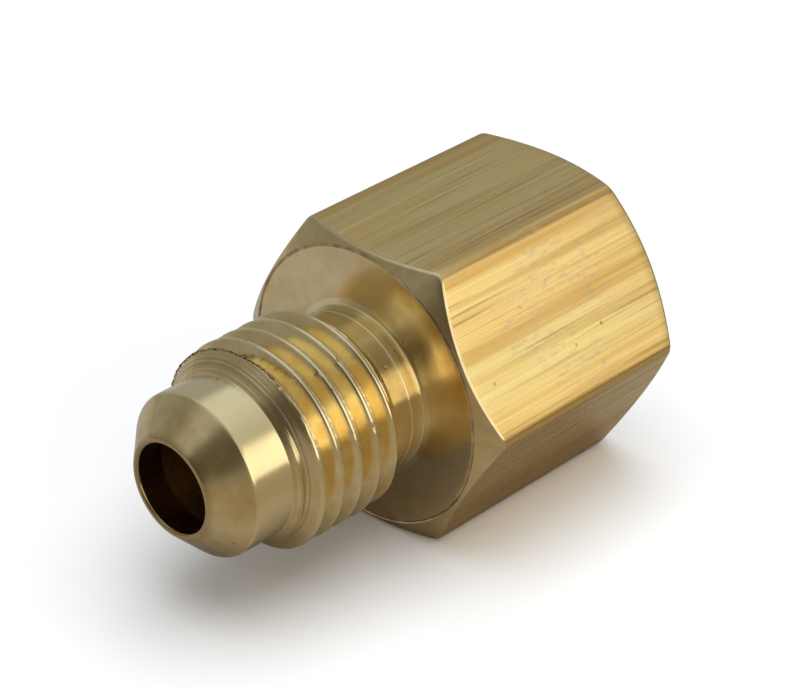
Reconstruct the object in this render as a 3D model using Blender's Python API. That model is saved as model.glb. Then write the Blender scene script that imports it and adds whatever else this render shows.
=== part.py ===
"""Flare fitting: a male 45-degree tube flare end and a female pipe-thread end on one hexagon body.

The fitting is one piece of brass bar, so it is one object. The bore runs along Y: the flare nose
points to -Y and the pipe socket opens at +Y. The body lies on one hexagon flat, at z = 0.
Every station below is measured along the bore from the nose tip, unless it says otherwise.
"""

import math

import bmesh
import bpy
from mathutils import Vector

MM = 0.001

# Whole fitting
LENGTH = 27.94 * MM
FLAT_TO_FLAT = 15.875 * MM
BORE_RADIUS = 2.40 * MM
BORE_EDGE = 0.10 * MM

# Male thread, 7/16-20 UNF
MALE_RADIUS = 5.54 * MM
MALE_PITCH = 1.27 * MM
MALE_DEPTH = 0.6134 * MALE_PITCH
MALE_CREST_WIDTH = MALE_PITCH / 8
MALE_CREST_STATION = 7.316 * MM     # a crest's station on the top line of the fitting
MALE_LEAD_ANGLE = math.radians(50)
MALE_BACK_ANGLE = math.radians(50)

# Flare nose: a flat rim round the bore, a 45-degree seat and a plain land
RIM_WIDTH = 0.18 * MM
SEAT_ANGLE = math.radians(45)
SEAT_EDGE = 0.30 * MM
LAND_DROP = 0.34 * MM               # the land lies this far under the male thread's root
LAND_RADIUS = MALE_RADIUS - MALE_DEPTH - LAND_DROP
LAND_END = 4.05 * MM

# Neck and hexagon
SHOULDER_STATION = 13.14 * MM       # where the neck meets the hexagon's front face
NECK_DROP = 0.29 * MM               # the neck lies this far under the male thread's root
NECK_RADIUS = MALE_RADIUS - MALE_DEPTH - NECK_DROP
NECK_LENGTH = 2.99 * MM             # with the slope behind the thread
CORNER_RADIUS = 0.70 * MM
FACE_INSET = 0.16 * MM              # from the flats in to the end faces' edge
FACE_RADIUS = FLAT_TO_FLAT / 2 - FACE_INSET
FACE_SLOPE = math.radians(3)        # the front face leans back by this much
FRONT_CHAMFER_ANGLE = math.radians(33)
BACK_CHAMFER_ANGLE = math.radians(32.5)

# Pipe socket, 1/4-18 NPT; its radius is over the thread crests at the mouth
PIPE_PITCH = 25.4 / 18 * MM
PIPE_DEPTH = 0.75 * PIPE_PITCH
PIPE_ROOT_WIDTH = 0.06 * PIPE_PITCH
PIPE_RUNOUT_TURNS = 1.25
FLAT_WALL = 1.20 * MM               # metal between the thread's root and the flats
FLOOR_WALL = 2.20 * MM              # from the socket's full-width end to the shoulder
UNTHREADED_LENGTH = 2.70 * MM       # at the socket's inner end
MOUTH_CHAMFER = 1.27 * MM           # radius that the mouth's 45-degree chamfer adds
SOCKET_TAPER = 1 / 32               # radius lost per unit of depth
SOCKET_DRILL_ANGLE = math.radians(59)
SOCKET_RADIUS = FLAT_TO_FLAT / 2 - FLAT_WALL - PIPE_DEPTH
SOCKET_DEPTH = LENGTH - SHOULDER_STATION - FLOOR_WALL

# Both threads
FLANK_ANGLE = math.radians(30)
CUTTER_OVERLAP = 0.06 * MM          # how far a thread cutter stands clear of the metal
SEGMENTS = 48                       # round a full turn

AXIS_HEIGHT = FLAT_TO_FLAT / 2
NOSE_Y = -LENGTH / 2


def clear_scene():
    for item in list(bpy.data.objects):
        bpy.data.objects.remove(item, do_unlink=True)


def on_axis(radius, angle, station):
    """A point at this radius and station, turned by angle from the top towards +X."""
    x = radius * math.sin(angle)
    z = AXIS_HEIGHT + radius * math.cos(angle)
    return Vector((x, NOSE_Y + station, z))


def object_from_bmesh(name, shape):
    mesh = bpy.data.meshes.new(name)
    bmesh.ops.recalc_face_normals(shape, faces=shape.faces)
    shape.to_mesh(mesh)
    shape.free()
    item = bpy.data.objects.new(name, mesh)
    bpy.context.scene.collection.objects.link(item)
    return item


def turned_profile():
    """The lathe outline as (radius, station) points, once round the section of the wall."""
    rim_radius = BORE_RADIUS + BORE_EDGE + RIM_WIDTH
    seat_end = (LAND_RADIUS - rim_radius) * math.tan(SEAT_ANGLE)
    lead_length = (MALE_RADIUS - LAND_RADIUS) / math.tan(MALE_LEAD_ANGLE)
    back_length = (MALE_RADIUS - NECK_RADIUS) / math.tan(MALE_BACK_ANGLE)
    neck_station = SHOULDER_STATION - NECK_LENGTH + back_length
    blank_radius = FLAT_TO_FLAT / math.sqrt(3) + 0.3 * MM
    face_station = SHOULDER_STATION + (FACE_RADIUS - NECK_RADIUS) * math.tan(FACE_SLOPE)
    front_chamfer = (blank_radius - FACE_RADIUS) * math.tan(FRONT_CHAMFER_ANGLE)
    back_chamfer = (blank_radius - FACE_RADIUS) * math.tan(BACK_CHAMFER_ANGLE)
    outside = [
        (BORE_RADIUS, BORE_EDGE),
        (BORE_RADIUS + BORE_EDGE, 0.0),
        (rim_radius, 0.0),
        (LAND_RADIUS - SEAT_EDGE * math.sin(SEAT_ANGLE), seat_end - SEAT_EDGE * math.cos(SEAT_ANGLE)),
        (LAND_RADIUS, seat_end + SEAT_EDGE),
        (LAND_RADIUS, LAND_END),
        (MALE_RADIUS, LAND_END + lead_length),
        (MALE_RADIUS, neck_station - back_length),
        (NECK_RADIUS, neck_station),
        (NECK_RADIUS, SHOULDER_STATION),
        (FACE_RADIUS, face_station),
        (blank_radius, face_station + front_chamfer),
        (blank_radius, LENGTH - back_chamfer),
        (FACE_RADIUS, LENGTH),
    ]
    mouth_depth = MOUTH_CHAMFER / (1 - SOCKET_TAPER)
    socket_end_radius = SOCKET_RADIUS - SOCKET_DEPTH * SOCKET_TAPER
    drill_length = (socket_end_radius - BORE_RADIUS) / math.tan(SOCKET_DRILL_ANGLE)
    inside = [
        (SOCKET_RADIUS + MOUTH_CHAMFER, LENGTH),
        (SOCKET_RADIUS - mouth_depth * SOCKET_TAPER, LENGTH - mouth_depth),
        (socket_end_radius, LENGTH - SOCKET_DEPTH),
        (BORE_RADIUS, LENGTH - SOCKET_DEPTH - drill_length),
    ]
    return outside + inside


def turned_blank(name):
    """The fitting as it leaves the lathe before threading, still round where the hexagon is."""
    shape = bmesh.new()
    ring = [shape.verts.new(on_axis(radius, 0.0, station)) for radius, station in turned_profile()]
    edges = [shape.edges.new((ring[i - 1], ring[i])) for i in range(len(ring))]
    bmesh.ops.spin(
        shape,
        geom=ring + edges,
        cent=on_axis(0.0, 0.0, 0.0),
        axis=(0.0, 1.0, 0.0),
        angle=math.tau,
        steps=SEGMENTS,
        use_merge=True,
    )
    bmesh.ops.remove_doubles(shape, verts=shape.verts, dist=0.001 * MM)
    return object_from_bmesh(name, shape)


def hexagon_bar(name):
    """A length of hexagon bar with rounded corners, one flat facing up."""
    corner_centre = FLAT_TO_FLAT / math.sqrt(3) - CORNER_RADIUS / math.cos(math.radians(30))
    arc_steps = 4
    outline = []
    for corner in range(6):
        corner_angle = math.radians(30 + 60 * corner)
        for step in range(arc_steps + 1):
            turn = corner_angle + math.radians(60 * step / arc_steps - 30)
            x = corner_centre * math.sin(corner_angle) + CORNER_RADIUS * math.sin(turn)
            z = corner_centre * math.cos(corner_angle) + CORNER_RADIUS * math.cos(turn)
            outline.append((x, AXIS_HEIGHT + z))
    overhang = 2 * MM
    shape = bmesh.new()
    verts = [shape.verts.new((x, NOSE_Y - overhang, z)) for x, z in outline]
    end = shape.faces.new(verts)
    pulled = bmesh.ops.extrude_face_region(shape, geom=[end])
    moved = [item for item in pulled["geom"] if isinstance(item, bmesh.types.BMVert)]
    bmesh.ops.translate(shape, vec=(0.0, LENGTH + 2 * overhang, 0.0), verts=moved)
    return object_from_bmesh(name, shape)


def helical_cutter(name, first_turn, last_turn, section):
    """A solid swept along a right-hand helix; section(turn) gives its (radius, station) corners."""
    steps = math.ceil((last_turn - first_turn) * SEGMENTS)
    shape = bmesh.new()
    rings = []
    for step in range(steps + 1):
        turn = first_turn + step / SEGMENTS
        angle = math.tau * turn
        rings.append([shape.verts.new(on_axis(r, angle, s)) for r, s in section(turn)])
    corners = len(rings[0])
    for ring, following in zip(rings, rings[1:]):
        for i in range(corners):
            j = (i + 1) % corners
            shape.faces.new((ring[i], ring[j], following[j], following[i]))
    shape.faces.new(rings[0])
    shape.faces.new(list(reversed(rings[-1])))
    return object_from_bmesh(name, shape)


def male_groove(turn):
    """The male thread's groove, half a pitch behind its crest."""
    middle = MALE_CREST_STATION + (turn + 0.5) * MALE_PITCH
    top_half = (MALE_PITCH - MALE_CREST_WIDTH) / 2
    root_half = top_half - MALE_DEPTH * math.tan(FLANK_ANGLE)
    outer_half = top_half + CUTTER_OVERLAP * math.tan(FLANK_ANGLE)
    root = MALE_RADIUS - MALE_DEPTH
    outer = MALE_RADIUS + CUTTER_OVERLAP
    return [
        (root, middle - root_half),
        (root, middle + root_half),
        (outer, middle + outer_half),
        (outer, middle - outer_half),
    ]


def male_groove_cutter():
    """Starts clear of the lead chamfer and ends over the neck."""
    lead_turn = (LAND_END - MALE_CREST_STATION) / MALE_PITCH - 1.6
    back_turn = (SHOULDER_STATION - NECK_LENGTH / 2 - MALE_CREST_STATION) / MALE_PITCH - 0.5
    return helical_cutter("male_groove_cutter", lead_turn, back_turn, male_groove)


def pipe_groove(turn):
    """The pipe thread's groove; turn counts out of the socket, and the groove shallows inwards."""
    station = LENGTH - SOCKET_DEPTH + UNTHREADED_LENGTH + turn * PIPE_PITCH
    shallowing = max(0.0, 1 - turn / PIPE_RUNOUT_TURNS)
    crest = SOCKET_RADIUS - (LENGTH - station) * SOCKET_TAPER
    root = crest + PIPE_DEPTH * (1 - shallowing)
    inner = crest - CUTTER_OVERLAP
    root_half = PIPE_ROOT_WIDTH / 2
    inner_half = root_half + (root - inner) * math.tan(FLANK_ANGLE)
    return [
        (inner, station - inner_half),
        (inner, station + inner_half),
        (root, station + root_half),
        (root, station - root_half),
    ]


def pipe_groove_cutter():
    """Starts at nothing deep in the socket and runs out past the mouth."""
    mouth_turn = (SOCKET_DEPTH - UNTHREADED_LENGTH) / PIPE_PITCH + 1.0
    return helical_cutter("pipe_groove_cutter", 0.0, mouth_turn, pipe_groove)


def apply_tool(item, tool, operation):
    tool.display_type = "WIRE"
    tool.hide_render = True
    change = item.modifiers.new(tool.name, "BOOLEAN")
    change.operation = operation
    change.solver = "EXACT"
    change.object = tool


def brass():
    material = bpy.data.materials.new("brass")
    material.use_nodes = True
    shader = material.node_tree.nodes["Principled BSDF"]
    shader.inputs["Base Color"].default_value = (0.78, 0.57, 0.27, 1.0)
    shader.inputs["Metallic"].default_value = 1.0
    shader.inputs["Roughness"].default_value = 0.3
    return material


def build_fitting():
    fitting = turned_blank("flare_fitting_body")
    apply_tool(fitting, hexagon_bar("hexagon_bar"), "INTERSECT")
    apply_tool(fitting, male_groove_cutter(), "DIFFERENCE")
    apply_tool(fitting, pipe_groove_cutter(), "DIFFERENCE")
    fitting.data.materials.append(brass())
    fitting.data.shade_smooth()
    fitting.data.set_sharp_from_angle(angle=math.radians(25))
    return fitting


clear_scene()
build_fitting()
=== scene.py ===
"""The look of a brass flare fitting: one turned and threaded body on a pale studio floor."""
import math

import bpy
import numpy as np
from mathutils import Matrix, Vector


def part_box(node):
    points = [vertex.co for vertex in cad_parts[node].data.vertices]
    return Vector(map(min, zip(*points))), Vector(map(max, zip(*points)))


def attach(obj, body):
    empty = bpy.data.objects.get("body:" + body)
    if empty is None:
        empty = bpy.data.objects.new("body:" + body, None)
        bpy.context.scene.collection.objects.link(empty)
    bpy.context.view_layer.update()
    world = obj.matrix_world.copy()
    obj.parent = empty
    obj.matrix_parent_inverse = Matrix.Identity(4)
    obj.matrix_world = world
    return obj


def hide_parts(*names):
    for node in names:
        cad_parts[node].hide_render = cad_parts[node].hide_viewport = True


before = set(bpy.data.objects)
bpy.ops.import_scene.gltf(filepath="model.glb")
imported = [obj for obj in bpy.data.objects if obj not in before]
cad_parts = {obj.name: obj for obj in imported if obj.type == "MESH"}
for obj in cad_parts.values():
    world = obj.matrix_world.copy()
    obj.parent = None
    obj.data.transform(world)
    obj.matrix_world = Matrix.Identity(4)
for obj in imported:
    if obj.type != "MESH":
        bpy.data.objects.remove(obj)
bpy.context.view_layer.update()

MM = 0.001
NODE = "flare_fitting_body"
LOW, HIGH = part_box(NODE)

# The whole fitting, from the frame
NOSE_Y = LOW.y
LENGTH = HIGH.y - LOW.y
HALF_FLATS = (HIGH.z - LOW.z) / 2
AXIS_HEIGHT = (HIGH.z + LOW.z) / 2

# Flare nose and bore
BORE_RADIUS = 2.40 * MM
BORE_EDGE = 0.10 * MM
RIM_RADIUS = 2.68 * MM
LAND_RADIUS = 4.421 * MM
LAND_END = 4.05 * MM
LAND_EDGE = 0.10 * MM
REAMED_DEPTH = 1.6 * MM             # the bore's mouth is turned clean this far in

# Male thread
MALE_RADIUS = 5.54 * MM
MALE_PITCH = 1.27 * MM
MALE_DEPTH = 0.6134 * MALE_PITCH
MALE_CREST_WIDTH = MALE_PITCH / 8
MALE_CREST_STATION = 7.316 * MM
LEAD_SLOPE = math.tan(math.radians(50))
BACK_SLOPE = math.tan(math.radians(50))

# Neck and hexagon
NECK_RADIUS = 4.471 * MM
NECK_LENGTH = 2.99 * MM
SHOULDER = 13.14 * MM
FACE_RADIUS = HALF_FLATS - 0.16 * MM
FACE_SLOPE = math.tan(math.radians(3))
FRONT_CHAMFER = math.radians(33)
BACK_CHAMFER = math.radians(32.5)
CORNER_RADIUS = 0.70 * MM
EDGE_BREAK = 0.13 * MM
NECK_STEP = 0.03 * MM
NECK_STEP_LENGTH = 0.85 * MM
FACE_GROOVE = 0.08 * MM             # from the face's rim to the middle of its ring groove

FLAT_ROWS = 24                      # rows of points along the six flats

# Pipe socket
PIPE_PITCH = 25.4 / 18 * MM
PIPE_DEPTH = 0.75 * PIPE_PITCH
PIPE_ROOT_WIDTH = 0.06 * PIPE_PITCH
SOCKET_RADIUS = HALF_FLATS - 1.20 * MM - PIPE_DEPTH
SOCKET_DEPTH = LENGTH - SHOULDER - 2.20 * MM
SOCKET_TAPER = 1 / 32
MOUTH_CHAMFER = 1.27 * MM
UNTHREADED = 2.70 * MM
RUNOUT_TURNS = 1.25
DRILL_HALF_ANGLE = math.radians(59)

# Both threads: their flanks, their roots and the stations between which their rows run
FLANK = math.radians(30)
MALE_ROOT_HALF = (MALE_PITCH - MALE_CREST_WIDTH) / 2 - MALE_DEPTH * math.tan(FLANK)
PIPE_ROOT_HALF = PIPE_ROOT_WIDTH / 2
PIPE_START = LENGTH - SOCKET_DEPTH + UNTHREADED
LEAD_FOOT = 0.10 * MM
FLOOR_MARGIN = 0.6 * MM
MOUTH_MARGIN = 0.02 * MM
MALE_ZONE = (LAND_END + LEAD_FOOT, SHOULDER - NECK_LENGTH + 1.25 * MM)
PIPE_ZONE = (LENGTH - SOCKET_DEPTH + FLOOR_MARGIN, LENGTH - MOUTH_MARGIN)

DRAWN, TURNED, FACED, NECKED, CUT, DRILLED = range(6)


# ---------------------------------------------------------------- the lathe outline

def rounded(points, arc_steps=5):
    """An outline of (radius, station, rounding) corners with each corner turned to an arc."""
    outline = []
    for i, (r, s, rounding) in enumerate(points):
        here = np.array((r, s))
        if rounding == 0 or i in (0, len(points) - 1):
            outline.append(here)
            continue
        before = np.array(points[i - 1][:2]) - here
        after = np.array(points[i + 1][:2]) - here
        reach = min(rounding, 0.48 * np.linalg.norm(before), 0.48 * np.linalg.norm(after))
        a = before / np.linalg.norm(before) * reach
        b = after / np.linalg.norm(after) * reach
        for step in range(arc_steps + 1):
            t = step / arc_steps
            outline.append(here + a * (1 - t) ** 2 + b * t ** 2)
    return outline


def divided(outline, longest):
    """The outline with points added so that no stretch is longer than this."""
    points = [outline[0]]
    for here, following in zip(outline, outline[1:]):
        count = max(1, math.ceil(np.linalg.norm(following - here) / longest))
        points += [here + (following - here) * k / count for k in range(1, count + 1)]
    return points


def hexagon_radius(turn):
    """How far the bar reaches from its axis at this turn, counted from the top flat's middle."""
    from_corner = (turn * 360) % 60 - 30
    corner_centre = (HALF_FLATS - CORNER_RADIUS) / math.cos(math.radians(30))
    flat_half = corner_centre * math.sin(math.radians(30))
    to_flat = math.radians(30 - abs(from_corner))
    if math.tan(to_flat) * HALF_FLATS <= flat_half:
        return HALF_FLATS / math.cos(to_flat)
    off = math.radians(abs(from_corner))
    reach = corner_centre * math.sin(off)
    return corner_centre * math.cos(off) + math.sqrt(CORNER_RADIUS ** 2 - reach ** 2)


class Skin:
    """Rows of points round the fitting, in order along its wall: outside, socket, bore."""

    def __init__(self, turn):
        self.turn = turn
        self.radius = []
        self.station = []
        self.finish = []
        self.thread = []
        self.edge = []

    def row(self, radius, station, finish, thread=0, edge=0.0):
        ones = np.ones_like(self.turn)
        self.radius.append(radius * ones)
        self.station.append(station * ones)
        self.finish.append(finish)
        self.thread.append(thread)
        self.edge.append(edge)

    def outline(self, points, finish):
        for r, s in points:
            self.row(r, s, finish)


def angular_steps():
    """Turns of the columns round the fitting: even on the flats, closer on the bar's corners."""
    flat_steps, corner_steps = 30, 8
    flat_span, corner_span = 55 / 360, 5 / 360
    turns = []
    for side in range(6):
        start = side / 6 - flat_span / 2
        turns += [start + flat_span * k / flat_steps for k in range(flat_steps)]
        start += flat_span
        turns += [start + corner_span * k / corner_steps for k in range(corner_steps)]
    turns.append(turns[0] + 1)
    return np.array(turns)


def male_blank():
    """Corners of the male thread's blank, from the land to the neck."""
    rise = MALE_RADIUS - LAND_RADIUS
    neck_start = SHOULDER - NECK_LENGTH + (MALE_RADIUS - NECK_RADIUS) / BACK_SLOPE
    return [
        (LAND_RADIUS + LEAD_FOOT * LEAD_SLOPE, MALE_ZONE[0], 0),
        (MALE_RADIUS, LAND_END + rise / LEAD_SLOPE, 0.05 * MM),
        (MALE_RADIUS, SHOULDER - NECK_LENGTH, 0.08 * MM),
        (NECK_RADIUS, neck_start, 0.15 * MM),
        (NECK_RADIUS, MALE_ZONE[1], 0),
    ]


def pitch_shares(pitch, root_half, depth):
    """Where the rows of one pitch lie, as shares of it from the groove's middle."""
    root = root_half / pitch
    crest = (root_half + depth * math.tan(FLANK)) / pitch
    half = [0.0, root - 0.02, root + 0.02, root + 0.06, (root + crest) / 2]
    half += [crest - 0.05, crest - 0.01, crest + 0.02, 0.5]
    return sorted(set(half + [1 - share for share in half if 0 < share < 0.5]))


def thread_rows(skin, zone, start, pitch, shares, blank, finish, thread, inwards=False):
    """Rows that follow a thread's helix through a zone, bunched up where they would leave it."""
    stations, radii = zip(*[(s, r) for r, s in blank])
    order = np.argsort(stations)
    stations, radii = np.array(stations)[order], np.array(radii)[order]
    first = math.floor((zone[0] - start) / pitch) - 2
    last = math.ceil((zone[1] - start) / pitch) + 1
    places = [(i + share) for i in range(first, last) for share in shares]
    if inwards:
        places.reverse()
    for place in places:
        station = np.clip(start + (place + skin.turn) * pitch, *zone)
        if station.min() < zone[1] and station.max() > zone[0]:
            skin.row(np.interp(station, stations, radii), station, finish, thread)


def hexagon_rows(skin):
    """The front chamfer, the six flats and the back chamfer."""
    reach = np.array([hexagon_radius(t) for t in skin.turn])
    face_station = SHOULDER + (FACE_RADIUS - NECK_RADIUS) * FACE_SLOPE
    ends = []
    for base, angle, way in ((face_station, FRONT_CHAMFER, 1), (LENGTH, BACK_CHAMFER, -1)):
        slope = math.tan(angle)
        corner = base + way * (reach - FACE_RADIUS) * slope
        room = (reach - FACE_RADIUS) / math.cos(angle)
        cut = np.minimum(EDGE_BREAK, 0.6 * room)
        inner = reach - cut * math.cos(angle)
        rows = []
        for share in (0.0, 0.25, 0.5, 0.75):
            radius = FACE_RADIUS + (inner - FACE_RADIUS) * share
            rows.append((radius, base + way * (radius - FACE_RADIUS) * slope, TURNED, 0.0))
        # Edge weight, highest in the middle of the edge break's arc: it sets where the brass gets a painted
        # highlight
        for t in np.linspace(0, 1, 6):
            radius = reach - cut * math.cos(angle) * (1 - t) ** 2
            station = corner + way * cut * (t ** 2 - math.sin(angle) * (1 - t) ** 2)
            rows.append((radius, station, TURNED if t < 0.9 else DRAWN, math.sin(t * math.pi)))
        ends.append(rows)
    front, back = ends
    for radius, station, finish, edge in front:
        skin.row(radius, station, finish, edge=edge)
    begin, end = front[-1][1], back[-1][1]
    for k in range(1, FLAT_ROWS):
        skin.row(reach, begin + (end - begin) * k / FLAT_ROWS, DRAWN)
    for i, (radius, station, finish, edge) in enumerate(reversed(back)):
        skin.row(radius, station, DRAWN if i == 0 else TURNED, edge=edge)


def fitting_rows():
    """Every row of the fitting's wall: nose, thread, neck, hexagon, socket and bore."""
    skin = Skin(angular_steps())
    seat_end = LAND_RADIUS - RIM_RADIUS
    nose = rounded([
        (BORE_RADIUS, REAMED_DEPTH, 0),
        (BORE_RADIUS, BORE_EDGE, 0.08 * MM),
        (BORE_RADIUS + BORE_EDGE, 0.0, 0.06 * MM),
        (RIM_RADIUS, 0.0, 0.10 * MM),
        (LAND_RADIUS, seat_end, LAND_EDGE),
        (LAND_RADIUS, LAND_END, 0.03 * MM),
        (LAND_RADIUS + LEAD_FOOT * LEAD_SLOPE, MALE_ZONE[0], 0),
    ])
    skin.outline(divided(nose, 0.16 * MM), TURNED)
    blank = divided(rounded(male_blank()), 0.2 * MM)
    shares = pitch_shares(MALE_PITCH, MALE_ROOT_HALF, MALE_DEPTH)
    groove = MALE_CREST_STATION + MALE_PITCH / 2
    thread_rows(skin, MALE_ZONE, groove, MALE_PITCH, shares, blank, CUT, 1)
    face_station = SHOULDER + (FACE_RADIUS - NECK_RADIUS) * FACE_SLOPE
    neck_line = SHOULDER - NECK_STEP_LENGTH
    neck = rounded([
        (NECK_RADIUS, MALE_ZONE[1], 0),
        (NECK_RADIUS, neck_line, 0.02 * MM),
        (NECK_RADIUS + NECK_STEP, neck_line + NECK_STEP, 0.02 * MM),
        (NECK_RADIUS + NECK_STEP, SHOULDER, 0.10 * MM),
        (FACE_RADIUS - 2 * FACE_GROOVE, face_station - 0.01 * MM, 0.02 * MM),
        (FACE_RADIUS - FACE_GROOVE, face_station + 0.06 * MM, 0.02 * MM),
        (FACE_RADIUS, face_station, 0),
    ])
    for radius, station in divided(neck, 0.3 * MM)[:-1]:
        skin.row(radius, station, FACED if radius > NECK_RADIUS + 0.15 * MM else NECKED)
    hexagon_rows(skin)
    mouth_depth = MOUTH_CHAMFER / (1 - SOCKET_TAPER)
    mouth_radius = SOCKET_RADIUS - mouth_depth * SOCKET_TAPER
    back_face = rounded([
        (FACE_RADIUS, LENGTH, 0),
        (SOCKET_RADIUS + MOUTH_CHAMFER, LENGTH, 0.05 * MM),
        (SOCKET_RADIUS + MOUTH_CHAMFER - MOUTH_MARGIN, PIPE_ZONE[1], 0),
    ])
    skin.outline(divided(back_face, 0.3 * MM)[1:], FACED)
    inner_radius = SOCKET_RADIUS - SOCKET_DEPTH * SOCKET_TAPER
    socket = divided(rounded([
        (SOCKET_RADIUS + MOUTH_CHAMFER - MOUTH_MARGIN, PIPE_ZONE[1], 0),
        (mouth_radius, LENGTH - mouth_depth, 0.1 * MM),
        (inner_radius + (PIPE_ZONE[0] - LENGTH + SOCKET_DEPTH) * SOCKET_TAPER, PIPE_ZONE[0], 0),
    ]), 0.2 * MM)
    shares = pitch_shares(PIPE_PITCH, PIPE_ROOT_HALF, PIPE_DEPTH)
    thread_rows(skin, PIPE_ZONE, PIPE_START, PIPE_PITCH, shares, socket, CUT, 2, inwards=True)
    drill_run = (inner_radius - BORE_RADIUS) / math.tan(DRILL_HALF_ANGLE)
    bore = rounded([
        (inner_radius + FLOOR_MARGIN * SOCKET_TAPER, PIPE_ZONE[0], 0),
        (inner_radius, LENGTH - SOCKET_DEPTH, 0.15 * MM),
        (BORE_RADIUS, LENGTH - SOCKET_DEPTH - drill_run, 0.08 * MM),
        (BORE_RADIUS, REAMED_DEPTH, 0),
    ])
    skin.outline(divided(bore, 0.8 * MM), DRILLED)
    return skin


def sheet_mesh(skin):
    """A flat sheet of the rows' points that carries each one's place on the lathe as attributes."""
    rows, columns = len(skin.radius), len(skin.turn)
    radius, station = np.array(skin.radius), np.array(skin.station)
    run = np.hypot(np.diff(radius, axis=0), np.diff(station, axis=0)).mean(axis=1)
    path = np.concatenate([[0.0], np.cumsum(run)])
    points = np.zeros((rows, columns, 3))
    points[..., 0] = skin.turn
    points[..., 1] = path[:, None]
    index = np.arange(rows * columns).reshape(rows, columns)
    a, b = index[:-1, :-1], index[:-1, 1:]
    c, d = index[1:, 1:], index[1:, :-1]
    faces = np.stack([a, b, c, d], axis=-1).reshape(-1, 4)
    mesh = bpy.data.meshes.new("fitting_sheet")
    mesh.from_pydata(points.reshape(-1, 3).tolist(), [], faces.tolist())
    spread = np.ones((rows, columns))
    values = {
        "turn": skin.turn * spread,
        "station": station,
        "radius": radius,
        "thread": np.array(skin.thread)[:, None] * spread,
        "edge": np.array(skin.edge)[:, None] * spread,
    }
    for name, value in values.items():
        layer = mesh.attributes.new(name, "FLOAT", "POINT")
        layer.data.foreach_set("value", value.astype(np.float32).ravel())
    finish = np.repeat(np.array(skin.finish)[:-1], columns - 1)
    layer = mesh.attributes.new("finish", "INT", "FACE")
    layer.data.foreach_set("value", finish.astype(np.int32))
    return mesh


# ---------------------------------------------------------------- geometry nodes

class Nodes:
    """Short ways to add the nodes that a tree needs."""

    def __init__(self, tree):
        self.tree = tree

    def add(self, kind, inputs=None, **settings):
        node = self.tree.nodes.new(kind)
        for name, value in settings.items():
            setattr(node, name, value)
        for name, value in (inputs or {}).items():
            self.feed(node.inputs[name], value)
        return node

    def feed(self, socket, value):
        if isinstance(value, bpy.types.NodeSocket):
            self.tree.links.new(value, socket)
        else:
            socket.default_value = value

    def maths(self, operation, *values):
        node = self.add("ShaderNodeMath", operation=operation)
        for i, value in enumerate(values):
            self.feed(node.inputs[i], value)
        return node.outputs[0]

    def mix(self, share, low, high):
        """A colour between two colours."""
        node = self.add("ShaderNodeMix", data_type="RGBA")
        for socket, value in zip((node.inputs[0], node.inputs[6], node.inputs[7]), (share, low, high)):
            if isinstance(value, tuple):
                value = (*value, 1.0)
            self.feed(socket, value)
        return node.outputs[2]

    def noise(self, place, scale, detail=2.0, dimensions="3D"):
        """Smooth noise from 0 to 1 over a place, or along a number."""
        node = self.add("ShaderNodeTexNoise", noise_dimensions=dimensions)
        self.feed(node.inputs["W" if dimensions == "1D" else "Vector"], place)
        self.feed(node.inputs["Scale"], scale)
        self.feed(node.inputs["Detail"], detail)
        return node.outputs[0]

    def spread(self, value, low, high, to_low=0.0, to_high=1.0):
        """The value, moved from one range to another and held inside it."""
        return self.add("ShaderNodeMapRange", {
            "Value": value, "From Min": low, "From Max": high, "To Min": to_low, "To Max": to_high,
        }).outputs[0]

    def stretched(self, place, x, y, z):
        return self.add("ShaderNodeVectorMath", {0: place, 1: (x, y, z)}, operation="MULTIPLY").outputs[0]

    def attribute(self, name, kind="FLOAT"):
        node = self.add("GeometryNodeInputNamedAttribute", {"Name": name}, data_type=kind)
        return node.outputs["Attribute"]


def groove_tree():
    """How deep a helical groove is at a point, from the groove's own sizes."""
    tree = bpy.data.node_groups.new("helical_groove", "GeometryNodeTree")
    for name in ("Station", "Turn", "Start", "Pitch", "Root half", "Depth", "Root round", "Edge round"):
        tree.interface.new_socket(name=name, in_out="INPUT", socket_type="NodeSocketFloat")
    tree.interface.new_socket(name="Cut", in_out="OUTPUT", socket_type="NodeSocketFloat")
    make = Nodes(tree)
    given = make.add("NodeGroupInput").outputs
    along = make.maths("SUBTRACT", given["Station"], given["Start"])
    place = make.maths("SUBTRACT", make.maths("DIVIDE", along, given["Pitch"]), given["Turn"])
    off = make.maths("SUBTRACT", place, make.maths("ROUND", place))
    off = make.maths("MULTIPLY", make.maths("ABSOLUTE", off), given["Pitch"])
    up_flank = make.maths("SUBTRACT", off, given["Root half"])
    up_flank = make.maths("DIVIDE", up_flank, math.tan(FLANK))
    cut = make.maths("SUBTRACT", given["Depth"], up_flank)
    cut = make.maths("SMOOTH_MIN", cut, given["Depth"], given["Root round"])
    cut = make.maths("SMOOTH_MAX", cut, 0.0, given["Edge round"])
    make.add("NodeGroupOutput", {"Cut": cut})
    return tree


THREAD_SIZES = {
    "Male radius": MALE_RADIUS,
    "Male pitch": MALE_PITCH,
    "Male depth": MALE_DEPTH,
    "Male groove start": MALE_CREST_STATION + MALE_PITCH / 2,
    "Male root half": MALE_ROOT_HALF,
    "Pipe radius": SOCKET_RADIUS,
    "Pipe pitch": PIPE_PITCH,
    "Pipe depth": PIPE_DEPTH,
    "Pipe groove start": PIPE_START,
    "Pipe root half": PIPE_ROOT_HALF,
    "Root rounding": 0.32 * MM,
    "Edge rounding": 0.06 * MM,
    "Nick depth": 0.05 * MM,
}


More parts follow.
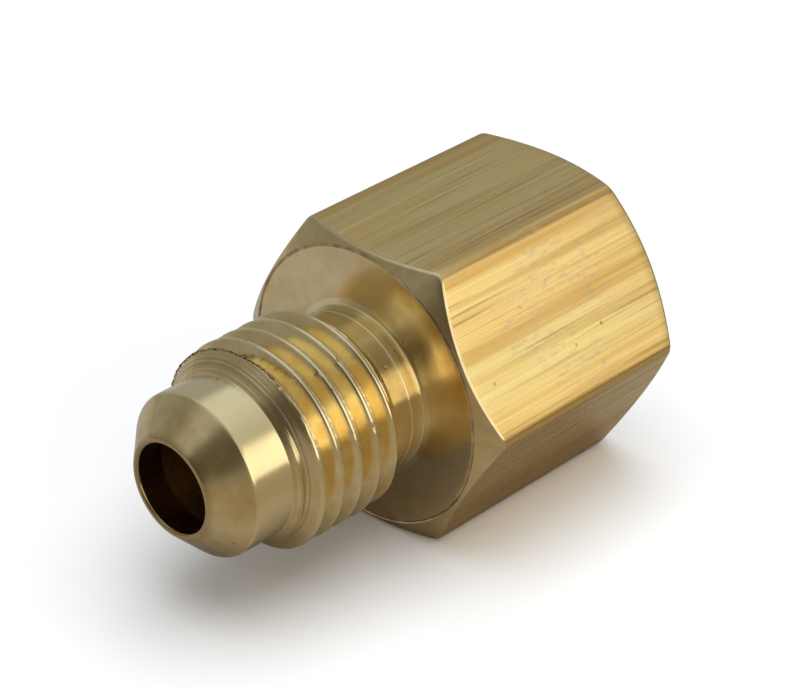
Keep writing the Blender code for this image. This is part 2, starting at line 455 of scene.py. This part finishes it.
def fitting_tree(materials):
    """Cuts both threads into the lathe rows, wraps the sheet round the bore and closes it."""
    tree = bpy.data.node_groups.new("cut_and_wrap_fitting", "GeometryNodeTree")
    tree.interface.new_socket(name="Sheet", in_out="INPUT", socket_type="NodeSocketGeometry")
    for name, value in THREAD_SIZES.items():
        socket = tree.interface.new_socket(name=name, in_out="INPUT", socket_type="NodeSocketFloat")
        socket.default_value = value
    tree.interface.new_socket(name="Fitting", in_out="OUTPUT", socket_type="NodeSocketGeometry")
    make = Nodes(tree)
    given = make.add("NodeGroupInput").outputs
    turn, station = make.attribute("turn"), make.attribute("station")
    blank, thread = make.attribute("radius"), make.attribute("thread")
    groove = groove_tree()

    def cut(kind, depth):
        node = make.add("GeometryNodeGroup", node_tree=groove)
        sizes = {
            "Station": station, "Turn": turn, "Start": given[kind + " groove start"],
            "Pitch": given[kind + " pitch"], "Root half": given[kind + " root half"],
            "Depth": depth, "Root round": given["Root rounding"],
            "Edge round": given["Edge rounding"],
        }
        for name, value in sizes.items():
            make.feed(node.inputs[name], value)
        return node.outputs["Cut"]

    male_cut = cut("Male", given["Male depth"])
    male = make.maths("SUBTRACT", given["Male radius"], male_cut)
    # Lip: 1 along the male thread's crest lines, where its cut meets the blank past the land; the finishes
    # paint a highlight there
    lip = make.maths("ABSOLUTE", make.maths("SUBTRACT", blank, male))
    lip = make.spread(lip, 0.07 * MM, 0.02 * MM)
    lip = make.maths("MULTIPLY", lip, make.spread(blank, LAND_RADIUS + 0.3 * MM, LAND_RADIUS + 0.5 * MM))
    male = make.maths("SMOOTH_MIN", blank, male, 0.02 * MM)
    angle = make.maths("MULTIPLY", turn, math.tau)
    sine, cosine = make.maths("SINE", angle), make.maths("COSINE", angle)
    spot = make.add("ShaderNodeCombineXYZ", {
        "X": make.maths("MULTIPLY", sine, MALE_RADIUS / MM),
        "Y": make.maths("DIVIDE", station, MM),
        "Z": make.maths("MULTIPLY", cosine, MALE_RADIUS / MM),
    }).outputs[0]
    nick = make.spread(make.noise(spot, 2.6, 2.0), 0.64, 0.72)
    at_crest = make.spread(male, MALE_RADIUS - 0.12 * MM, MALE_RADIUS - 0.02 * MM)
    nick = make.maths("MULTIPLY", make.maths("MULTIPLY", nick, at_crest), given["Nick depth"])
    male = make.maths("SUBTRACT", male, nick)
    into_thread = make.maths("SUBTRACT", station, given["Pipe groove start"])
    turns_in = make.maths("DIVIDE", into_thread, given["Pipe pitch"])
    fade = make.maths("DIVIDE", turns_in, RUNOUT_TURNS)
    fade = make.maths("MINIMUM", make.maths("MAXIMUM", fade, 0.0), 1.0)
    pipe_cut = cut("Pipe", make.maths("MULTIPLY", given["Pipe depth"], fade))
    pipe_share = make.maths("DIVIDE", pipe_cut, given["Pipe depth"])
    from_mouth = make.maths("SUBTRACT", LENGTH, station)
    crest = make.maths("MULTIPLY", from_mouth, SOCKET_TAPER)
    crest = make.maths("SUBTRACT", given["Pipe radius"], crest)
    pipe = make.maths("MAXIMUM", blank, make.maths("ADD", crest, pipe_cut))

    def choose(number, value, otherwise):
        same = make.maths("COMPARE", thread, float(number), 0.5)
        node = make.add("ShaderNodeMix", data_type="FLOAT")
        make.feed(node.inputs[0], same)
        make.feed(node.inputs[2], otherwise)
        make.feed(node.inputs[3], value)
        return node.outputs[0]

    radius = choose(1, male, choose(2, pipe, blank))
    x = make.maths("MULTIPLY", radius, sine)
    z = make.maths("MULTIPLY", radius, cosine)
    place = make.add("ShaderNodeCombineXYZ", {
        "X": x,
        "Y": make.maths("ADD", station, NOSE_Y),
        "Z": make.maths("ADD", z, AXIS_HEIGHT),
    })
    male_share = make.maths("DIVIDE", make.maths("SUBTRACT", blank, male), given["Male depth"])
    share = choose(1, male_share, choose(2, pipe_share, 0.0))
    # Edge weight for painted highlights: crest lines on the male thread, the hexagon's edge breaks elsewhere
    edge = choose(1, lip, make.attribute("edge"))
    carved = given["Sheet"]
    for name, value in (("groove_share", share), ("edge", edge)):
        carved = make.add("GeometryNodeStoreNamedAttribute", {
            "Geometry": carved, "Name": name, "Value": value,
        }, data_type="FLOAT", domain="POINT").outputs[0]
    wrapped = make.add("GeometryNodeSetPosition", {
        "Geometry": carved, "Position": place.outputs[0],
    })
    closed = make.add("GeometryNodeMergeByDistance", {
        "Geometry": wrapped.outputs[0], "Distance": 0.0005 * MM,
    }).outputs[0]
    finish = make.attribute("finish", "INT")
    for number, material in enumerate(materials):
        chosen = make.add("FunctionNodeCompare", data_type="INT", operation="EQUAL")
        make.feed(chosen.inputs[2], finish)
        make.feed(chosen.inputs[3], number)
        closed = make.add("GeometryNodeSetMaterial", {
            "Geometry": closed, "Selection": chosen.outputs[0], "Material": material,
        }).outputs[0]
    real = make.add("GeometryNodeRealizeInstances", {"Geometry": closed})
    make.add("NodeGroupOutput", {"Fitting": real.outputs[0]})
    return tree


BURR_SIZES = {
    "First turn": -0.21,
    "Last turn": 0.07,
    "Thickness": 0.045 * MM,
    "Raggedness": 0.10 * MM,
}
BURR_POINTS = 150
BURR_SEED = 4


def burr_tree(material):
    """A torn lip of metal on the thread's first edge, where the groove breaks out of the lead."""
    tree = bpy.data.node_groups.new("torn_lip", "GeometryNodeTree")
    tree.interface.new_socket(name="Start", in_out="INPUT", socket_type="NodeSocketGeometry")
    for name, value in BURR_SIZES.items():
        socket = tree.interface.new_socket(name=name, in_out="INPUT", socket_type="NodeSocketFloat")
        socket.default_value = value
    tree.interface.new_socket(name="Lip", in_out="OUTPUT", socket_type="NodeSocketGeometry")
    make = Nodes(tree)
    given = make.add("NodeGroupInput").outputs
    line = make.add("GeometryNodeMeshLine", {"Count": BURR_POINTS}).outputs[0]
    index = make.add("GeometryNodeInputIndex").outputs[0]
    turn = make.spread(index, 0, BURR_POINTS - 1, given["First turn"], given["Last turn"])

    def ragged(low, high, seed):
        node = make.add("FunctionNodeRandomValue", {"ID": index, "Seed": seed}, data_type="FLOAT")
        make.feed(node.inputs[2], low)
        make.feed(node.inputs[3], high)
        return node.outputs[1]

    groove = MALE_CREST_STATION - 1.5 * MALE_PITCH
    groove = make.maths("MULTIPLY_ADD", turn, MALE_PITCH, groove)
    steep = 1 / math.tan(FLANK)
    root_radius = MALE_RADIUS - MALE_DEPTH
    level = root_radius - LAND_RADIUS + LEAD_SLOPE * LAND_END - MALE_ROOT_HALF * steep
    meeting = make.maths("DIVIDE", make.maths("MULTIPLY_ADD", groove, steep, level), LEAD_SLOPE + steep)
    crest_edge = make.maths("SUBTRACT", groove, MALE_ROOT_HALF + MALE_DEPTH / steep)
    station = make.maths("MAXIMUM", meeting, crest_edge)
    radius = make.maths("MULTIPLY_ADD", station, LEAD_SLOPE, LAND_RADIUS - LEAD_SLOPE * LAND_END)
    radius = make.maths("MINIMUM", radius, MALE_RADIUS)
    lift = make.maths("MULTIPLY", given["Raggedness"], ragged(-0.35, 0.45, BURR_SEED))
    radius = make.maths("ADD", radius, lift)
    sway = make.maths("MULTIPLY", given["Raggedness"], ragged(-0.5, 0.5, BURR_SEED + 1))
    angle = make.maths("MULTIPLY", turn, math.tau)
    up = make.maths("MULTIPLY", radius, make.maths("COSINE", angle))
    along = make.maths("ADD", make.maths("ADD", station, sway), NOSE_Y)
    place = make.add("ShaderNodeCombineXYZ", {
        "X": make.maths("MULTIPLY", radius, make.maths("SINE", angle)),
        "Y": along,
        "Z": make.maths("ADD", up, AXIS_HEIGHT),
    })
    bent = make.add("GeometryNodeSetPosition", {"Geometry": line, "Position": place.outputs[0]})
    curve = make.add("GeometryNodeMeshToCurve", {"Mesh": bent.outputs[0]}).outputs[0]
    girth = ragged(0.35, 1.5, BURR_SEED + 2)
    curve = make.add("GeometryNodeSetCurveRadius", {"Curve": curve, "Radius": girth})
    ring = make.add("GeometryNodeCurvePrimitiveCircle", {"Resolution": 5, "Radius": given["Thickness"]})
    lip = make.add("GeometryNodeCurveToMesh", {
        "Curve": curve.outputs[0], "Profile Curve": ring.outputs[0], "Fill Caps": True,
    })
    real = make.add("GeometryNodeRealizeInstances", {"Geometry": lip.outputs[0]})
    painted = make.add("GeometryNodeSetMaterial", {"Geometry": real.outputs[0], "Material": material})
    make.add("NodeGroupOutput", {"Lip": painted.outputs[0]})
    return tree


def grown(name, mesh, tree, sizes=None):
    """The plain mesh object that a tree makes of this mesh."""
    carrier = bpy.data.objects.new(name + "_carrier", mesh)
    bpy.context.scene.collection.objects.link(carrier)
    change = carrier.modifiers.new("grow", "NODES")
    change.node_group = tree
    by_name = {item.name: item.identifier for item in tree.interface.items_tree}
    for size, value in (sizes or {}).items():
        change[by_name[size]] = value
    bpy.context.view_layer.update()
    seen = carrier.evaluated_get(bpy.context.evaluated_depsgraph_get())
    result = bpy.data.meshes.new_from_object(seen)
    carrier.modifiers.remove(change)
    bpy.data.objects.remove(carrier)
    if result.materials and result.materials[0] is None:
        result.materials.pop(index=0)
    piece = bpy.data.objects.new(name, result)
    bpy.context.scene.collection.objects.link(piece)
    return piece


# ---------------------------------------------------------------- brass finishes

class Brass(Nodes):
    """A brass finish in the making: its places, layers of height and the shader they feed."""

    def __init__(self, name, anisotropy=0.0, across_axis=True):
        self.material = bpy.data.materials.new(name)
        self.material.use_nodes = True
        super().__init__(self.material.node_tree)
        self.shader = self.tree.nodes["Principled BSDF"]
        self.shader.inputs["Metallic"].default_value = 1.0
        self.shader.inputs["Anisotropic"].default_value = anisotropy
        place = self.add("ShaderNodeTexCoord").outputs["Object"]
        move = self.add("ShaderNodeMapping", {
            "Location": (0, -NOSE_Y / MM, -AXIS_HEIGHT / MM), "Scale": (1 / MM, 1 / MM, 1 / MM),
        })
        self.feed(move.inputs["Vector"], place)
        self.place = move.outputs[0]
        x, self.station, z = self.add("ShaderNodeSeparateXYZ", {0: self.place}).outputs
        self.radius = self.maths("POWER", self.maths("ADD", self.maths("MULTIPLY", x, x),
                                                     self.maths("MULTIPLY", z, z)), 0.5)
        self.height = None
        if anisotropy:
            around = self.add("ShaderNodeVectorMath", {0: self.place, 1: (0, 1, 0)},
                              operation="CROSS_PRODUCT").outputs[0]
            if across_axis:
                normal = self.add("ShaderNodeNewGeometry").outputs["Normal"]
                around = self.add("ShaderNodeVectorMath", {0: around, 1: normal},
                                  operation="CROSS_PRODUCT").outputs[0]
            tangent = self.add("ShaderNodeVectorMath", {0: around}, operation="NORMALIZE").outputs[0]
            self.feed(self.shader.inputs["Tangent"], tangent)

    def raise_by(self, layer, depth):
        """Adds a layer of height, in millimetres at its full value."""
        layer = self.maths("MULTIPLY", layer, depth)
        self.height = layer if self.height is None else self.maths("ADD", self.height, layer)

    def finish(self, colour, roughness):
        bump = self.add("ShaderNodeBump", {"Height": self.height, "Strength": 1.0, "Distance": MM})
        self.feed(self.shader.inputs["Normal"], bump.outputs[0])
        self.feed(self.shader.inputs["Base Color"], colour)
        self.feed(self.shader.inputs["Roughness"], roughness)
        return self.material

    def rings(self, per_mm, detail=2.0):
        """Tool marks round the axis, wherever the wall runs."""
        along = self.maths("ADD", self.radius, self.station)
        return self.noise(along, per_mm, detail, "1D")

    def pits(self, per_mm, size, share):
        """Small dents scattered over the surface: 1 inside a dent, 0 outside."""
        cells = self.add("ShaderNodeTexVoronoi", {"Scale": per_mm}, feature="F1")
        self.feed(cells.inputs["Vector"], self.place)
        near = self.spread(cells.outputs["Distance"], size, size * 0.4)
        pick = self.add("ShaderNodeSeparateColor", {0: cells.outputs["Color"]}).outputs[0]
        return self.maths("MULTIPLY", near, self.maths("LESS_THAN", pick, share))


SCUFF_PLACE = (6.5, 21.5, 4.5)      # from the axis and the nose tip, in millimetres


def drawn_brass():
    """Bar stock as it came through the die: long streaks along the flats, scuffs and dents."""
    brass = Brass("drawn_brass", anisotropy=0.6, across_axis=False)
    fine = brass.noise(brass.stretched(brass.place, 1, 0.010, 1), 9.0, 3.0)
    thin = brass.noise(brass.stretched(brass.place, 1, 0.014, 1), 5.0, 3.0)
    streak = brass.noise(brass.stretched(brass.place, 1, 0.020, 1), 1.6, 4.0)
    broad = brass.noise(brass.stretched(brass.place, 1, 0.06, 1), 0.42, 3.0)
    tint = brass.noise(brass.stretched(brass.place, 1, 0.10, 1), 0.30, 2.0)
    scored = brass.noise(brass.stretched(brass.place, 1, 0.018, 1), 3.4, 1.0)
    scored = brass.spread(scored, 0.64, 0.71)
    colour = brass.mix(brass.spread(tint, 0.35, 0.65), (0.80, 0.52, 0.17), (0.82, 0.65, 0.27))
    colour = brass.mix(brass.spread(streak, 0.52, 0.36, 0.0, 0.65), colour, (0.70, 0.42, 0.11))
    colour = brass.mix(brass.spread(broad, 0.50, 0.64, 0.0, 0.55), colour, (0.90, 0.70, 0.27))
    colour = brass.mix(brass.spread(thin, 0.48, 0.34, 0.0, 0.40), colour, (0.52, 0.30, 0.09))
    colour = brass.mix(brass.spread(fine, 0.50, 0.68, 0.0, 0.45), colour, (0.95, 0.80, 0.42))
    colour = brass.mix(brass.maths("MULTIPLY", scored, 0.45), colour, (0.38, 0.19, 0.04))
    away = brass.add("ShaderNodeVectorMath", {0: brass.place, 1: SCUFF_PLACE},
                     operation="DISTANCE").outputs["Value"]
    patch = brass.maths("ADD", brass.noise(brass.place, 0.35, 3.0), brass.spread(away, 6.5, 2.5, -0.08, 0.22))
    grain = brass.noise(brass.stretched(brass.place, 1, 0.25, 1), 6.0, 4.0)
    worn = brass.maths("MULTIPLY", brass.spread(patch, 0.55, 0.72), brass.spread(grain, 0.52, 0.70))
    colour = brass.mix(brass.maths("MULTIPLY", worn, 0.35), colour, (0.93, 0.80, 0.58))
    dents = brass.pits(0.8, 0.10, 0.22)
    colour = brass.mix(brass.maths("MULTIPLY", dents, 0.6), colour, (0.40, 0.25, 0.11))
    # Painted highlight: a pale line along the hexagon's edge breaks
    edge = brass.add("ShaderNodeAttribute", attribute_name="edge").outputs["Fac"]
    colour = brass.mix(brass.maths("MULTIPLY", edge, 0.35), colour, (0.97, 0.86, 0.62))
    brass.raise_by(fine, 0.0035)
    brass.raise_by(thin, 0.0050)
    brass.raise_by(streak, 0.010)
    brass.raise_by(broad, 0.02)
    brass.raise_by(scored, -0.006)
    brass.raise_by(worn, -0.0015)
    brass.raise_by(dents, -0.008)
    rough = brass.spread(streak, 0.3, 0.7, 0.32, 0.22)
    rough = brass.maths("ADD", rough, brass.maths("MULTIPLY", worn, 0.15))
    return brass.finish(colour, rough)


def turned_brass(name, dark, light, ring_depth, tarnish, rough, anisotropy):
    """Brass off the lathe: fine rings, faint stains, a few dents and a cleaner land."""
    brass = Brass(name, anisotropy)
    fine = brass.rings(14.0, 3.0)
    coarse = brass.rings(3.0)
    stain = brass.noise(brass.place, 0.55, 5.0)
    haze = brass.noise(brass.place, 1.4, 6.0)
    wide, along = brass.radius, brass.station
    past_seat = brass.spread(wide, 4.30, 4.39)
    before_lead = brass.spread(along, 4.10, 4.00)
    land = brass.maths("MULTIPLY", past_seat, before_lead)
    colour = brass.mix(brass.spread(stain, 0.35, 0.65), dark, light)
    colour = brass.mix(brass.spread(fine, 0.40, 0.70, 0.0, 0.22), colour, (0.97, 0.83, 0.54))
    colour = brass.mix(brass.maths("MULTIPLY", land, 0.8), colour, (0.98, 0.82, 0.45))
    dull = brass.maths("MULTIPLY", brass.spread(haze, 0.45, 0.80), tarnish)
    dull = brass.maths("MULTIPLY", dull, brass.maths("SUBTRACT", 1.0, land))
    colour = brass.mix(dull, colour, (0.46, 0.34, 0.19))
    bore_rim = brass.spread(wide, 2.95, 2.55, 0.0, 0.75)
    colour = brass.mix(bore_rim, colour, (0.34, 0.22, 0.09))
    dents = brass.pits(0.7, 0.09, 0.25)
    colour = brass.mix(brass.maths("MULTIPLY", dents, 0.6), colour, (0.34, 0.22, 0.10))
    rim = brass.maths("ABSOLUTE", brass.maths("SUBTRACT", wide, FACE_RADIUS / MM - FACE_GROOVE / MM))
    rim = brass.maths("MULTIPLY", brass.spread(rim, 0.12, 0.04), brass.spread(haze, 0.35, 0.60, 0.1, 0.6))
    colour = brass.mix(rim, colour, (0.26, 0.16, 0.07))
    # Painted highlight: a pale line along the hexagon's edge breaks
    edge = brass.add("ShaderNodeAttribute", attribute_name="edge").outputs["Fac"]
    colour = brass.mix(brass.maths("MULTIPLY", edge, 0.30), colour, (0.97, 0.86, 0.62))
    brass.raise_by(fine, ring_depth)
    brass.raise_by(coarse, ring_depth * 2)
    brass.raise_by(haze, 0.0010)
    brass.raise_by(dents, -0.012)
    rough = brass.spread(stain, 0.3, 0.7, rough * 1.25, rough * 0.8)
    rough = brass.maths("ADD", rough, brass.maths("MULTIPLY", dull, 0.2))
    return brass.finish(colour, rough)


def cut_brass():
    """Threads and lead: fine lines, brown painted shade in the roots, ringed painted shade on the lead,
    painted highlights on the crests.
    """
    brass = Brass("cut_brass", anisotropy=0.3)
    depth = brass.add("ShaderNodeAttribute", attribute_name="groove_share").outputs["Fac"]
    lines = brass.noise(brass.radius, 20.0, 3.0, "1D")
    stain = brass.noise(brass.place, 0.8, 4.0)
    speck = brass.noise(brass.place, 4.5, 3.0)
    colour = brass.mix(brass.spread(stain, 0.35, 0.65), (0.85, 0.62, 0.25), (0.96, 0.81, 0.43))
    colour = brass.mix(brass.spread(lines, 0.45, 0.70, 0.0, 0.35), colour, (0.97, 0.82, 0.50))
    # Painted shade: dark brown in the deepest part of the thread roots, broken into blotches
    painted_root_shade = brass.maths("MULTIPLY", brass.spread(depth, 0.80, 1.0), brass.spread(speck, 0.35, 0.60))
    painted_root_shade = brass.maths("MULTIPLY", painted_root_shade, 0.55)
    colour = brass.mix(painted_root_shade, colour, (0.24, 0.15, 0.06))
    # Painted shade: dark brown rings over the lead chamfer, with a matching bump
    on_lead = brass.spread(brass.station, 5.1, 4.7)
    brown_tone = brass.maths("MULTIPLY", on_lead, brass.spread(brass.rings(3.2), 0.35, 0.65))
    colour = brass.mix(brass.maths("MULTIPLY", brown_tone, 0.65), colour, (0.44, 0.31, 0.14))
    # Painted highlight: pale crest lines on the male thread
    lip = brass.add("ShaderNodeAttribute", attribute_name="edge").outputs["Fac"]
    colour = brass.mix(brass.maths("MULTIPLY", lip, 0.4), colour, (0.96, 0.84, 0.58))
    brass.raise_by(lines, 0.002)
    brass.raise_by(speck, 0.0015)
    brass.raise_by(brown_tone, 0.010)
    rough = brass.spread(stain, 0.3, 0.7, 0.22, 0.14)
    rough = brass.maths("ADD", rough, brass.maths("MULTIPLY", painted_root_shade, 0.3))
    return brass.finish(colour, rough)


def drilled_brass():
    """The bore and the socket's floor: drill rings in a darker, blotchy brown."""
    brass = Brass("drilled_brass", anisotropy=0.2)
    rings = brass.rings(7.0, 3.0)
    brown_tone = brass.noise(brass.place, 0.9, 4.0)
    colour = brass.mix(brass.spread(brown_tone, 0.35, 0.65), (0.34, 0.19, 0.08), (0.62, 0.40, 0.18))
    colour = brass.mix(brass.spread(rings, 0.45, 0.7, 0.0, 0.4), colour, (0.74, 0.53, 0.27))
    brass.raise_by(rings, 0.012)
    return brass.finish(colour, brass.spread(brown_tone, 0.3, 0.7, 0.45, 0.30))


def burr_brass():
    """Torn metal on the thread's first edge: dark brown painted shade broken by brass flecks."""
    brass = Brass("burr_brass")
    shade_and_tear = brass.noise(brass.place, 6.0, 4.0)
    # Painted shade: dark brown over much of the burr, with brass flecks between
    colour = brass.mix(brass.spread(shade_and_tear, 0.4, 0.6), (0.16, 0.10, 0.05), (0.74, 0.55, 0.27))
    brass.raise_by(shade_and_tear, 0.01)
    return brass.finish(colour, brass.spread(shade_and_tear, 0.3, 0.7, 0.5, 0.3))


# ---------------------------------------------------------------- studio

def pale_floor():
    """Pale paper that shows white, but hands the brass a dimmer reflection, with painted shade darker and
    warmer to the right.
    """
    size = 1.5
    mesh = bpy.data.meshes.new("floor")
    corners = [(-size, -size, 0), (size, -size, 0), (size, size, 0), (-size, size, 0)]
    mesh.from_pydata(corners, [], [(0, 1, 2, 3)])
    floor = bpy.data.objects.new("floor", mesh)
    floor.location.z = -0.00002
    bpy.context.scene.collection.objects.link(floor)
    paint = bpy.data.materials.new("floor_paper")
    paint.use_nodes = True
    make = Nodes(paint.node_tree)
    shader = paint.node_tree.nodes["Principled BSDF"]
    shader.inputs["Roughness"].default_value = 0.9
    shader.inputs["Specular IOR Level"].default_value = 0.0
    seen = make.add("ShaderNodeLightPath").outputs["Is Camera Ray"]
    x = make.add("ShaderNodeSeparateXYZ", {0: make.add("ShaderNodeTexCoord").outputs["Object"]}).outputs[0]
    # Painted shade in what the brass mirrors: the floor turns darker and warmer to the right
    mirrored = make.mix(make.spread(x, -0.01, 0.02), (0.40, 0.39, 0.40), (0.28, 0.24, 0.19))
    make.feed(shader.inputs["Base Color"], make.mix(seen, mirrored, (0.92, 0.92, 0.92)))
    mesh.materials.append(paint)


def sky_way(make):
    """Azimuth and elevation of a sky direction in degrees; azimuth 0 is -Y, 90 is +X."""
    way = make.add("ShaderNodeTexCoord").outputs["Generated"]
    x, y, z = make.add("ShaderNodeSeparateXYZ", {"Vector": way}).outputs
    azimuth = make.maths("ARCTAN2", x, make.maths("MULTIPLY", y, -1.0))
    elevation = make.maths("ARCSINE", z)
    return make.maths("DEGREES", azimuth), make.maths("DEGREES", elevation)


def panel(make, azimuth, elevation, middle, half, soft):
    """1 inside a panel of the sky and 0 outside it, with soft edges; sizes in degrees."""
    inside = 1.0
    for value, centre, reach, turn in (
            (azimuth, middle[0], half[0], 360.0), (elevation, middle[1], half[1], None)):
        off = make.maths("SUBTRACT", value, centre)
        if turn:
            off = make.maths("WRAP", off, turn / 2, -turn / 2)
        off = make.maths("ABSOLUTE", off)
        edge = make.add("ShaderNodeMapRange", {
            "Value": off, "From Min": reach - soft, "From Max": reach + soft,
            "To Min": 1.0, "To Max": 0.0,
        }, interpolation_type="SMOOTHSTEP").outputs[0]
        inside = make.maths("MULTIPLY", inside, edge)
    return inside


ROOM = (0.27, 0.27, 0.28)
PANELS = [
    # middle (azimuth, elevation), half size, soft edge, colour
    ((0, 84), (180, 22), 10, (0.48, 0.50, 0.52)),       # ceiling
    ((-120, 18), (48, 30), 12, (0.33, 0.35, 0.39)),     # pale wall to the left and behind
    ((95, 47), (42, 14), 8, (0.55, 0.55, 0.54)),        # wall over the window
    ((160, 46), (32, 10), 8, (0.52, 0.52, 0.53)),       # the same wall's end
    ((212, 70), (74, 18), 6, (0.64, 0.70, 0.78)),       # skylight, high at the back
    ((205, 46), (20, 9), 5, (0.64, 0.70, 0.78)),        # the skylight's low corner
    ((-22, 50), (26, 11), 6, (0.50, 0.54, 0.60)),       # its near end
    ((94, 17), (45, 18), 4, (1.26, 1.22, 1.14)),        # window to the right
    ((18, 22), (20, 17), 6, (0.10, 0.09, 0.08)),        # dark beside the camera
    ((37, 27), (9, 14), 4, (0.10, 0.09, 0.08)),         # the camera
]


def studio_world():
    """A dim room with a window, panels and a dark side, as soft patches of the sky."""
    world = bpy.data.worlds.new("studio")
    world.use_nodes = True
    make = Nodes(world.node_tree)
    azimuth, elevation = sky_way(make)
    light = ROOM
    for middle, half, soft, colour in PANELS:
        inside = panel(make, azimuth, elevation, middle, half, soft)
        light = make.mix(inside, light, colour)
    background = world.node_tree.nodes["Background"]
    make.feed(background.inputs["Color"], light)
    bpy.context.scene.world = world


def overhead_fill():
    """A wide lamp over the floor that the brass does not mirror."""
    lamp = bpy.data.lights.new("overhead_fill", "AREA")
    lamp.size = 0.5
    lamp.energy = 1.9
    item = bpy.data.objects.new("overhead_fill", lamp)
    item.location = (0.06, 0.02, 0.45)
    item.visible_glossy = False
    item.visible_camera = False
    bpy.context.scene.collection.objects.link(item)


def camera():
    """Looks down on the nose from its right, with a long lens."""
    azimuth, elevation = math.radians(43.96), math.radians(31.09)
    distance = 148.34 * MM
    target = Vector((0.38, 1.70, 9.54)) * MM
    way = Vector((
        math.sin(azimuth) * math.cos(elevation),
        -math.cos(azimuth) * math.cos(elevation),
        math.sin(elevation),
    ))
    data = bpy.data.cameras.new("camera")
    data.lens = 129.72
    data.sensor_width = 36
    data.clip_start = 0.01
    item = bpy.data.objects.new("camera", data)
    item.location = target + way * distance
    item.rotation_euler = (-way).to_track_quat("-Z", "Y").to_euler()
    bpy.context.scene.collection.objects.link(item)
    bpy.context.scene.camera = item


# ---------------------------------------------------------------- the scene

finishes = [
    drawn_brass(),
    turned_brass("turned_brass", (0.74, 0.54, 0.22), (0.84, 0.67, 0.33),
                 ring_depth=0.0007, tarnish=0.45, rough=0.19, anisotropy=0.3),
    turned_brass("faced_brass", (0.75, 0.56, 0.26), (0.86, 0.68, 0.37),
                 ring_depth=0.0012, tarnish=0.30, rough=0.17, anisotropy=0.5),
    turned_brass("necked_brass", (0.84, 0.70, 0.38), (0.92, 0.80, 0.50),
                 ring_depth=0.0018, tarnish=0.15, rough=0.14, anisotropy=0.4),
    cut_brass(),
    drilled_brass(),
]
fitting = grown("fitting_body", sheet_mesh(fitting_rows()), fitting_tree(finishes), THREAD_SIZES)
fitting.data.shade_smooth()
fitting.data.set_sharp_from_angle(angle=math.radians(40))
burr = grown("thread_burr", bpy.data.meshes.new("burr_start"), burr_tree(burr_brass()), BURR_SIZES)
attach(fitting, "root")
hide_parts(NODE)
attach(burr, "root")

pale_floor()
studio_world()
overhead_fill()
camera()
bpy.context.scene.view_settings.view_transform = "Standard"
